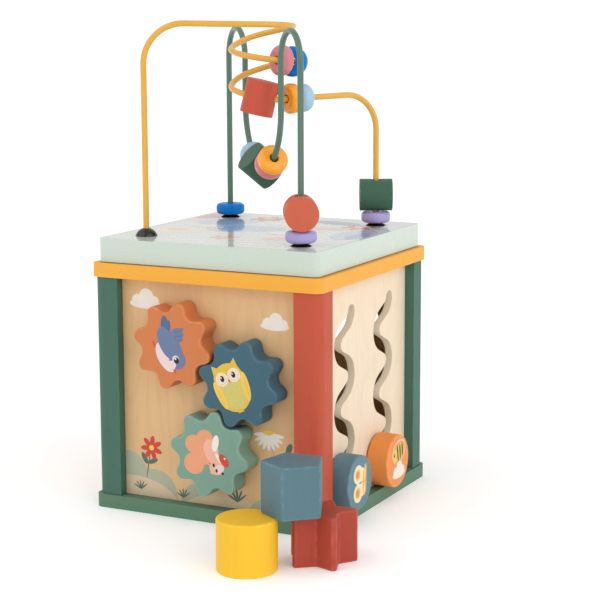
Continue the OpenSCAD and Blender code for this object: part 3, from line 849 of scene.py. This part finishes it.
@dataclass
class GearTrain:
    """Three meshing gears on dowel axles, each with a printed animal."""

    face: float = 109.7

    def build(self) -> None:
        """Builds the gears, their axles and their prints."""
        for colour, paint in GEAR_PAINT.items():
            gear = f"gear_{colour}"
            ease_all(gear, (gear, paint, 1.5, 4), (f"axle_{colour}", DOWEL, 0.3, 2),
                     (f"retainer_{colour}", DOWEL, 0.5, 2))
        self.bird()
        self.owl()
        self.squirrel()

    def sheet(self, name: str, colour: str, turn: float) -> PrintSheet:
        """Starts a print on a gear's face, centred on its axle."""
        hub = middle(f"gear_{colour}")
        return PrintSheet(name, f"gear_{colour}", GEAR_PAINT[colour],
                          (hub.x, -self.face, hub.z), (1, 0, 0), (0, 0, 1), turn)

    def bird(self) -> None:
        """A generic small bird, diving, made of ovals."""
        s = self.sheet("bird_print", "orange", 0)
        s.lay((Ink.SLATE_DARK, -5.4, 15.6, 3.3, 8.0, 2),
              (Ink.SLATE_DARK, -2.8, 13.4, 2.4, 7.0, -10),
              (Ink.POPPY, -14.6, 0.2, 0.6, 3.6, 24), (Ink.BLUSH, -4.6, -8.6, 7.0, 12.6, 33),
              (Ink.SLATE, -3.4, 2.4, 7.0, 13.4, 27), (Ink.SLATE, 3.2, -1.6, 6.0, 11.0, 26),
              (Ink.SLATE, 4.4, 8.4, 5.6, 6.4, -30))
        for x, y, size, lean in ((7.2, 12.2, 4.2, -72), (7.4, 8.8, 4.0, -82),
                                 (7.0, 5.6, 3.6, -92)):
            s.lay((Ink.SLATE_DARK, x, y, 0.45, size, lean),
                  (Ink.SLATE, x, y + 1.3, 1.2, size + 0.3, lean))
        s.lay((Ink.SLATE, 5.6, -10.0, 7.2, 7.2, 0), (Ink.BLUSH, 0.6, -14.2, 4.0, 3.4, 20),
              (Ink.BLUSH, 4.2, -9.6, 3.0, 3.0), (Ink.NIGHT, 4.8, -10.4, 2.3, 2.5),
              (Ink.WHITE, 4.0, -9.2, 0.8, 0.8), (Ink.POPPY, 3.2, -18.6, 1.5, 2.4, 190, 3))
        s.build()

    def owl(self) -> None:
        """A generic sleepy owl made of ovals."""
        s = self.sheet("owl_print", "blue", 24)
        mid_x, mid_y = -4.9, 0.4
        for side in (-1, 1):
            s.disc(Ink.OCHRE, mid_x + side * 8.6, mid_y + 15.6, 4.6, 4.6, side * -24, 3)
        s.lay((Ink.OCHRE, mid_x, mid_y + 7.6, 12.6, 10.6),
              (Ink.OCHRE, mid_x, mid_y - 3.2, 14.8, 16.4),
              (Ink.OLIVE, mid_x, mid_y - 5.4, 11.2, 12.8),
              (Ink.OCHRE, mid_x, mid_y - 19.0, 3.2, 3.0, 0, 3))
        for row in range(5):
            for k in range(-2, 3):
                x = k * 3.6 + (1.8 if row % 2 else 0.0)
                if abs(x) < 9.4 - 0.9 * abs(row - 2):
                    s.disc(Ink.BUTTER, mid_x + x, mid_y + 0.8 - row * 3.7, 0.4, 0.9)
        for side in (-1, 1):
            s.lay((Ink.BUTTER, mid_x + side * 11.6, mid_y - 3.4, 3.2, 11.4, side * -7),
                  (Ink.OCHRE, mid_x + side * 12.2, mid_y - 5.0, 0.4, 8.6, side * -7),
                  (Ink.CREAM, mid_x + side * 5.6, mid_y + 7.6, 5.3, 5.4),
                  (Ink.BLUSH, mid_x + side * 5.6, mid_y + 7.6, 4.5, 4.6),
                  (Ink.CREAM, mid_x + side * 5.6, mid_y + 7.8, 2.9, 3.6),
                  (Ink.NIGHT, mid_x + side * 5.2, mid_y + 8.0, 1.8, 2.5),
                  (Ink.WHITE, mid_x + side * 5.2 - 0.6, mid_y + 9.0, 0.6, 0.7))
        s.disc(Ink.ROSE, mid_x, mid_y + 5.0, 1.2, 1.7, 180, 3)
        s.build()

    def squirrel(self) -> None:
        """A generic squirrel with a puffy tail and a toadstool."""
        s = self.sheet("squirrel_print", "teal", 0)
        for x, y, r in ((-12.6, 7.2, 7.6), (-3.0, 12.4, 7.2), (-12.6, -8.0, 8.8),
                        (-5.6, 0.6, 9.4)):
            s.disc(Ink.PEACH, x, y, r, r * 0.96)
        s.lay((Ink.PEACH_LIGHT, 2.4, 3.2, 6.2, 9.4, 16),
              (Ink.WHITE, 6.2, 9.6, 2.8, 6.6, -10),
              (Ink.PEACH_LIGHT, 7.2, -9.4, 6.4, 5.6, 16),
              (Ink.PEACH_LIGHT, 0.8, -6.6, 2.2, 2.6, 60, 3),
              (Ink.ROSE, 1.0, -6.6, 1.1, 1.4, 60, 3),
              (Ink.PEACH_LIGHT, 3.6, -13.6, 2.0, 2.6, 110, 3),
              (Ink.BLUSH, 9.4, -10.0, 4.2, 3.2, 20), (Ink.NIGHT, 4.6, -7.6, 1.0, 1.5, 12),
              (Ink.NIGHT, 7.0, -11.6, 1.0, 1.5, 12),
              (Ink.NIGHT, 12.4, -13.2, 1.2, 0.9, -30),
              (Ink.PEACH_LIGHT, 9.6, -3.4, 1.5, 4.2, 50),
              (Ink.WHITE, 8.8, -1.6, 1.5, 4.4, 34), (Ink.POPPY, 13.4, -3.0, 3.2, 5.6, 38),
              (Ink.CREAM, 14.2, -1.4, 0.8, 0.8))
        s.build()


@dataclass
class SliderTracks:
    """Two knobs that run in wavy tracks, with their stems and keepers."""

    def build(self) -> None:
        """Builds the bushes, stems, keepers, knobs and knob prints."""
        # Each knob takes the lighter copy of its gear paint, which is painted light.
        for place, colour, paint in (("front", "blue", KNOB_BLUE_LIT),
                                     ("back", "orange", KNOB_ORANGE_LIT)):
            ease_all(f"carriage_{place}", (f"slider_bush_{place}", NYLON, 0.2, 2))
            knob = f"knob_{colour}"
            ease_all(knob, (knob, paint, 1.5, 4), (f"knob_stem_{colour}", STEM, 0.3, 2),
                     (f"knob_keeper_{colour}", STEM, 0.5, 2))
        self.butterfly()
        self.bee()

    def sheet(self, name: str, colour: str, paint: Finish) -> PrintSheet:
        """Starts a print on a knob's face, centred on its stem."""
        knob = f"knob_{colour}"
        face = middle(knob)
        face.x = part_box(knob)[1][0] / MM
        return PrintSheet(name, knob, paint, face, (0, 1, 0), (0, 0, 1))

    def butterfly(self) -> None:
        """A generic cream butterfly."""
        s = self.sheet("butterfly_print", "blue", KNOB_BLUE_LIT)
        s.lay((Ink.BUTTER, 8.0, 1.2, 2.1, 12.6, -4),
              (Ink.POPPY_PALE, 10.4, 1.4, 1.0, 12.0, -4))
        for y in (7.4, -7.2):
            s.lay((Ink.CREAM, -4.4, y, 7.8, 7.4), (Ink.CREAM, 2.4, y * 0.8, 6.2, 5.6),
                  (Ink.BUTTER, -4.8, y, 4.6, 4.4), (Ink.POPPY_PALE, -5.2, y, 3.0, 3.0))
        s.disc(Ink.OCHRE, 5.4, 0.6, 1.3, 10.6, -4)
        s.build()

    def bee(self) -> None:
        """A generic striped bee with pale wings."""
        s = self.sheet("bee_print", "orange", KNOB_ORANGE_LIT)
        s.lay((Ink.BLUSH, 1.2, 7.4, 13.0, 9.4, 14),
              (Ink.POPPY_PALE, 1.0, 7.0, 12.2, 8.4, 14),
              (Ink.OCHRE, 1.8, 6.8, 10.6, 7.6, 14))
        for x, lean in ((-1.0, 10), (3.6, 8), (8.0, 6)):
            s.disc(Ink.NIGHT, x, 6.6 + 0.2 * x, 1.15, 7.2 - 0.22 * x, lean)
        s.lay((Ink.BUTTER, -6.4, 5.0, 4.6, 5.6), (Ink.NIGHT, -7.6, 6.0, 1.1, 1.6),
              (Ink.WHITE, -7.9, 6.6, 0.4, 0.5))
        s.cloud(Ink.BLUSH, 1.2, -8.4, 26)
        s.cloud(Ink.WHITE, 1.2, -8.4, 24)
        s.build()


@dataclass
class Lid:
    """The lift-off lid, its plug, its screws and its glossy print."""

    top: float = 215.6
    reach: float = 91.0

    def build(self) -> None:
        """Builds the lid's pieces."""
        ease_all("lid", ("lid_board", MINT, 1.6, 4), ("lid_plug", INNER_BIRCH, 0.25, 2),
                 ("lid_screws", ZINC, 0.15, 2), ("wire_caps", BLACK, 0.25, 2))
        self.pond()

    def pond(self) -> None:
        """Soft clouds, leaves and water printed on the lid's top."""
        r = self.reach
        s = PrintSheet("lid_print", "lid", MINT, (0, 0, self.top), (1, 0, 0), (0, 1, 0),
                       bounds=(-r, r, -r, r))
        s.lay((Ink.MIST, 0, 0, 140, 140, 45, 4), (Ink.BLUSH, -76, 58, 28, 32),
              (Ink.ROSE, -84, 66, 16, 20), (Ink.HAZE, -52, 34, 26, 20, 30),
              (Ink.CREAM, -60, -26, 24, 13, 20), (Ink.BUTTER, -66, -24, 9, 6, 20),
              (Ink.HAZE, -18, 4, 34, 18, 10), (Ink.SAND, -30, -14, 16, 8, -12),
              (Ink.PEACH_LIGHT, 36, -40, 15, 9, 20), (Ink.PEACH_LIGHT, 44, 30, 26, 8, 10),
              (Ink.HAZE, 78, 4, 16, 30), (Ink.SKY, 84, -2, 7, 20),
              (Ink.SLATE, 34, 66, 24, 9, -14))
        s.petals(Ink.POPPY, 62, 48, 6, 8, 7, 3)
        s.disc(Ink.BUTTER, 62, 48, 3.6, 3.6)
        s.petals(Ink.ROSE, -30, 66, 6, 9, 7, 3.6)
        s.disc(Ink.BUTTER, -30, 66, 4, 4)
        s.petals(Ink.PEACH_LIGHT, -8, -50, 6, 7, 5, 2.6)
        s.disc(Ink.BUTTER, -8, -50, 3, 3)
        s.cloud(Ink.WHITE, 4, 40, 44)
        s.cloud(Ink.WHITE, -52, 4, 30)
        s.cloud(Ink.WHITE, 30, -12, 38)
        s.build()


@dataclass
class BeadMaze:
    """The two bent wires on the lid and the beads that ride on them."""

    lid_top: float = 215.6
    leg: float = 68.0
    foot: float = 12.0
    wire: float = 2.4
    arch_r: float = 24.0
    arch_h: float = 135.5
    u_h: float = 99.0
    in_bend: float = 31.0
    in_leg: float = 133.6
    out_bend: float = 29.0
    out_rise: float = 1.4
    coil_r: float = 24.5
    start: float = -60.2
    sweep: float = 750.0
    heights: tuple[float, ...] = (163.6, 162.4, 160, 154.4, 145.8, 140.7, 136.6, 134.3,
                                  132.4, 125, 115.4, 109.6, 105.6)

    def slope(self, k: int) -> float:
        """Height change per step at a control point of the coil."""
        if k <= 0:
            return -0.4
        if k >= len(self.heights) - 1:
            return 0.8
        return (self.heights[k + 1] - self.heights[k - 1]) / 2

    def coil(self, a: float) -> Vector:
        """Point on the coil after a turn of a degrees."""
        t = a / self.sweep * (len(self.heights) - 1)
        k = min(max(int(t), 0), len(self.heights) - 2)
        u = t - k
        z = ((2 * u ** 3 - 3 * u ** 2 + 1) * self.heights[k]
             + (u ** 3 - 2 * u ** 2 + u) * self.slope(k)
             + (3 * u ** 2 - 2 * u ** 3) * self.heights[k + 1]
             + (u ** 3 - u ** 2) * self.slope(k + 1))
        w = math.radians(self.start + a)
        return Vector((self.coil_r * math.cos(w), self.coil_r * math.sin(w),
                       self.lid_top + z))

    def bend(self, sx: float, sy: float, low: float, r: float, way: float,
             steps: int = 20) -> list[Vector]:
        """Quarter bend that rises from a leg and levels out towards a direction.

        Args:
            sx: leg's place along X.
            sy: leg's place along Y.
            low: height where the bend starts.
            r: bend radius.
            way: direction in degrees.
            steps: number of steps.

        Returns:
            Points from the leg upwards.
        """
        w = math.radians(way)
        out = []
        for i in range(steps + 1):
            t = math.radians(90 * i / steps)
            d = r * (1 - math.cos(t))
            out.append(Vector((sx + d * math.cos(w), sy + d * math.sin(w),
                               low + r * math.sin(t))))
        return out

    def yellow_path(self) -> list[Vector]:
        """Route of the coiled wire from foot to foot."""
        q, top = self.leg, self.lid_top
        low = top - self.foot
        path = [Vector((-q, -q, low))]
        path += self.bend(-q, -q, top + self.in_leg, self.in_bend, self.start + 90)
        path += [self.coil(self.sweep * i / 240) for i in range(241)]
        high = self.coil(self.sweep).z + self.out_rise
        last = self.bend(q, q, high - self.out_bend, self.out_bend,
                         self.start + self.sweep + 270)
        path += list(reversed(last)) + [Vector((q, q, low))]
        return path

    def on_diagonal(self, s: float, h: float) -> Vector:
        """Point in the arched wire's upright plane."""
        d = s / math.sqrt(2)
        return Vector((-self.leg + d, self.leg - d, self.lid_top + h))

    def green_path(self) -> list[Vector]:
        """Route of the arched wire from foot to foot."""
        span = 2 * self.leg * math.sqrt(2)
        r, u = self.arch_r, span / 2 - 2 * self.arch_r
        path = [self.on_diagonal(0, -self.foot)]
        arcs = ((r, self.arch_h, r, 180, 0), (span / 2, self.u_h, u, 180, 360),
                (span - r, self.arch_h, r, 180, 0))
        for s, h, rad, a, b in arcs:
            for i in range(41):
                t = math.radians(a + (b - a) * i / 40)
                path.append(self.on_diagonal(s + rad * math.cos(t), h + rad * math.sin(t)))
        path.append(self.on_diagonal(span, -self.foot))
        return path

    def bent_wire(self, node: str, path: list[Vector], finish: Finish) -> None:
        """Builds one wire as a round rod along its route."""
        curve = bpy.data.curves.new(f"{node}_route", "CURVE")
        curve.dimensions = "3D"
        run = curve.splines.new("POLY")
        run.points.add(len(path) - 1)
        for point, place in zip(run.points, path):
            point.co = (*(place * MM), 1.0)
        curve.bevel_depth = self.wire * MM
        curve.bevel_resolution = 6
        curve.use_fill_caps = True
        rod = add(f"{node}_route", curve)
        shape = bpy.data.meshes.new_from_object(
            rod.evaluated_get(bpy.context.evaluated_depsgraph_get()))
        bpy.data.objects.remove(rod)
        bpy.data.curves.remove(curve)
        bm = bmesh.new()
        bm.from_mesh(shape)
        bpy.data.meshes.remove(shape)
        bmesh.ops.remove_doubles(bm, verts=bm.verts, dist=1e-7)
        bmesh.ops.recalc_face_normals(bm, faces=bm.faces)
        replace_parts(publish(bm, f"{node}_rod", "lid", finish.slot, [finish.material()]),
                    node)

    def along_coil(self, a: float) -> Vector:
        """Heading of the coil after a turn of a degrees."""
        return (self.coil(min(a + 1, self.sweep)) - self.coil(max(a - 1, 0))).normalized()

    def along_exit(self) -> Vector:
        """Heading of the straight strand that leaves the coil."""
        w = math.radians(self.start + self.sweep + 270)
        end = Vector((self.leg + self.out_bend * math.cos(w),
                      self.leg + self.out_bend * math.sin(w),
                      self.coil(self.sweep).z + self.out_rise))
        return (end - self.coil(self.sweep)).normalized()

    def along_u(self, a: float) -> Vector:
        """Heading of the hanging bend at an angle from its lowest point."""
        t = math.radians(a)
        d = math.cos(t) / math.sqrt(2)
        return Vector((d, -d, math.sin(t)))

    def build(self) -> None:
        """Builds both wires and every bead."""
        self.bent_wire("yellow_wire", self.yellow_path(), WIRE_YELLOW)
        self.bent_wire("green_wire", self.green_path(), WIRE_GREEN)
        up = Vector((0, 0, 1))
        rings = (("ring_rear_blue", BEAD_BLUE, up), ("ring_near_lilac", BEAD_LILAC, up),
                 ("ring_right_lilac", BEAD_LILAC, up),
                 ("ring_u_pink", BEAD_PINK, self.along_u(27)),
                 ("ring_u_orange", BEAD_ORANGE, self.along_u(27)),
                 ("ring_coil_blue", BEAD_BLUE, self.along_coil(436)),
                 ("ring_coil_pink", BEAD_PINK, self.along_coil(396)),
                 ("ring_coil_orange", BEAD_ORANGE, self.along_exit()))
        for node, paint, way in rings:
            RoundBead(node, paint, 12.0, 3.3, 4.6, 3.4, way).build()
        for node, way in (("lentil_u_blue", self.along_u(-33)),
                          ("lentil_coil_blue", self.along_exit())):
            RoundBead(node, BEAD_SKY, 11.2, 3.8, 6.3, 5.9, way).build()
        ease_all(None, ("barrel_near_red", BEAD_CORAL, 0.8, 3),
                 ("barrel_right_green", BEAD_GREEN, 0.8, 3),
                 ("barrel_u_green", BEAD_GREEN, 0.8, 3), ("barrel_coil_red", BEAD_RED, 0.8, 3))


@dataclass
class Blocks:
    """The three loose blocks that the shape panel sorts."""

    ease: float = 1.4

    def build(self) -> None:
        """Builds the round, five-sided and star blocks."""
        ease_all(None, ("block_round", BLOCK_YELLOW, self.ease, 4),
                 ("block_penta", BLOCK_BLUE, self.ease, 4),
                 ("block_star", BLOCK_RED, self.ease, 4))


@dataclass
class Studio:
    """Pale floor, soft lights and the camera."""

    sight: tuple[float, float, float] = (648.9, -1219.1, 396.4)
    turn: float = 26.82
    dip: float = 9.77
    roll: float = -0.21
    lens: float = 103.98
    sky: float = 0.80
    backdrop: float = 1.05
    floor_size: float = 40.0
    floor_glow: float = 0.16

    def floor(self) -> None:
        """Makes the floor, well clear of the object's sides."""
        bm = bmesh.new()
        bmesh.ops.create_grid(bm, x_segments=2, y_segments=2,
                              size=self.floor_size)
        mesh = bpy.data.meshes.new("floor")
        bm.to_mesh(mesh)
        bm.free()
        mat = bpy.data.materials.new("floor_paper")
        mat.use_nodes = True
        paper = mat.node_tree.nodes["Principled BSDF"].inputs
        for label, value in (("Base Color", (0.95, 0.95, 0.95, 1)), ("Roughness", 0.9),
                             ("Specular IOR Level", 0.1), ("Emission Color", (1, 1, 1, 1)),
                             ("Emission Strength", self.floor_glow)):
            paper[label].default_value = value
        mesh.materials.append(mat)
        add("floor", mesh)

    def sun(self, name: str, place: tuple[float, float, float], power: float,
            spread: float = 55) -> None:
        """Adds a distant light, very soft unless its spread is small.

        Args:
            name: name of the light.
            place: point that the light comes from, towards the toy.
            power: strength.
            spread: angle that the light comes from, in degrees.
        """
        data = bpy.data.lights.new(name, "SUN")
        data.angle = math.radians(spread)
        data.energy = power
        lamp = add(name, data)
        lamp.rotation_euler = (-Vector(place)).to_track_quat("-Z", "Y").to_euler()

    def surround(self) -> None:
        """Makes a plain surround that the camera sees as white."""
        world = bpy.data.worlds.new("studio")
        world.use_nodes = True
        sky = world.node_tree
        sky.nodes["Background"].inputs["Color"].default_value = (1, 1, 1, 1)
        path = sky.nodes.new("ShaderNodeLightPath")
        level = sky.nodes.new("ShaderNodeMapRange")
        level.inputs["To Min"].default_value = self.sky
        level.inputs["To Max"].default_value = self.backdrop
        sky.links.new(path.outputs["Is Camera Ray"], level.inputs["Value"])
        sky.links.new(level.outputs["Result"], sky.nodes["Background"].inputs["Strength"])
        bpy.context.scene.world = world

    def camera(self) -> None:
        """Sets the camera up where the photo was taken from."""
        data = bpy.data.cameras.new("view")
        data.lens = self.lens
        data.sensor_width = 36.0
        data.clip_end = 30.0
        cam = add("view", data)
        t, p, r = (math.radians(v) for v in (self.turn, self.dip, self.roll))
        look = Vector((-math.sin(t) * math.cos(p), math.cos(t) * math.cos(p),
                       -math.sin(p)))
        right = Vector((math.cos(t), math.sin(t), 0))
        top = right.cross(look)
        side = right * math.cos(r) + top * math.sin(r)
        upward = -right * math.sin(r) + top * math.cos(r)
        turn = Matrix((side, upward, -look)).transposed().to_4x4()
        cam.matrix_world = Matrix.Translation(Vector(self.sight) * MM) @ turn
        bpy.context.scene.camera = cam

    def build(self) -> None:
        """Builds the whole set."""
        self.floor()
        self.surround()
        bpy.context.scene.view_settings.view_transform = "Standard"
        self.sun("key", (-1.3, -1.5, 2.1), 0.45)
        self.sun("side", (2.0, -0.5, 1.1), 0.58)
        self.sun("glint", (1.6, -1.6, 1.5), 0.16, 14)
        self.camera()


def main() -> None:
    """Builds every sub-assembly and the set."""
    logging.basicConfig(level=logging.INFO, format="%(name)s: %(message)s")
    for part in (Box(), GearTrain(), SliderTracks(), Lid(), BeadMaze(), Blocks(),
                 Studio()):
        part.build()


if __name__ == "__main__":
    main()
